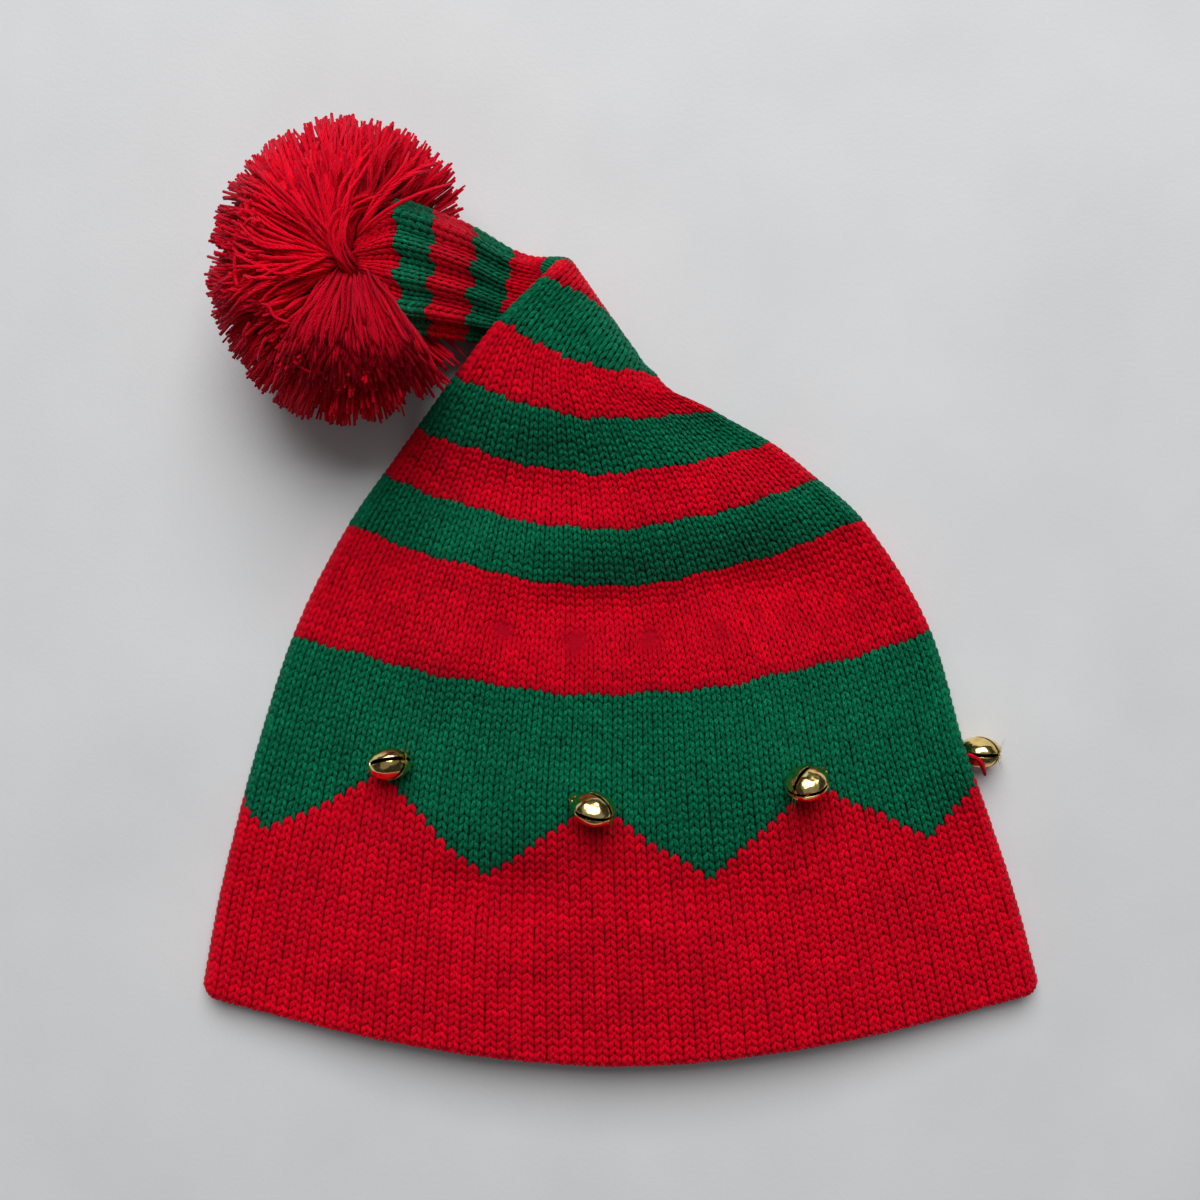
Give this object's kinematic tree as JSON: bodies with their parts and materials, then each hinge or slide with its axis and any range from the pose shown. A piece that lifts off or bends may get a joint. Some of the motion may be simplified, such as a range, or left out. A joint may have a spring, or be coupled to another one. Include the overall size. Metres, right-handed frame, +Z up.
{
  "type": "knitted beanie",
  "caption": "Striped knitted beanie lying flat, with a zigzag band, jingle bells, a pointed tip that rolls under into a pleated tail and a yarn pompom.",
  "frame": {"origin": "on the flat underside of the brim band, midway between the two corners of the brim", "axes": "+X across the brim towards the single bell beside the fold, +Y from the brim to the tip, +Z up from the surface that the hat lies on"},
  "size_m": [0.2426, 0.2585, 0.063],
  "materials": {
    "red_yarn": "knitted acrylic yarn, matt",
    "green_yarn": "knitted acrylic yarn, matt",
    "red_pile": "cut yarn strands, matt",
    "bell_metal": "polished gold tone"
  },
  "bodies": {
    "root": {"brim_band": "red_yarn", "zigzag_band": "green_yarn", "stripe_red_1": "red_yarn", "stripe_green_1": "green_yarn", "stripe_red_2": "red_yarn", "stripe_green_2": "green_yarn", "stripe_red_3": "red_yarn", "stripe_green_3": "green_yarn", "tip_red": "red_yarn", "tip_green": "green_yarn", "tip_red_end": "red_yarn", "tail_green_1": "green_yarn", "tail_red_1": "red_yarn", "tail_green_2": "green_yarn", "tail_red_end": "red_yarn", "pompom": "red_pile", "bell_1": "bell_metal", "bell_2": "bell_metal", "bell_3": "bell_metal", "bell_4": "bell_metal"}
  },
  "joints": []
}
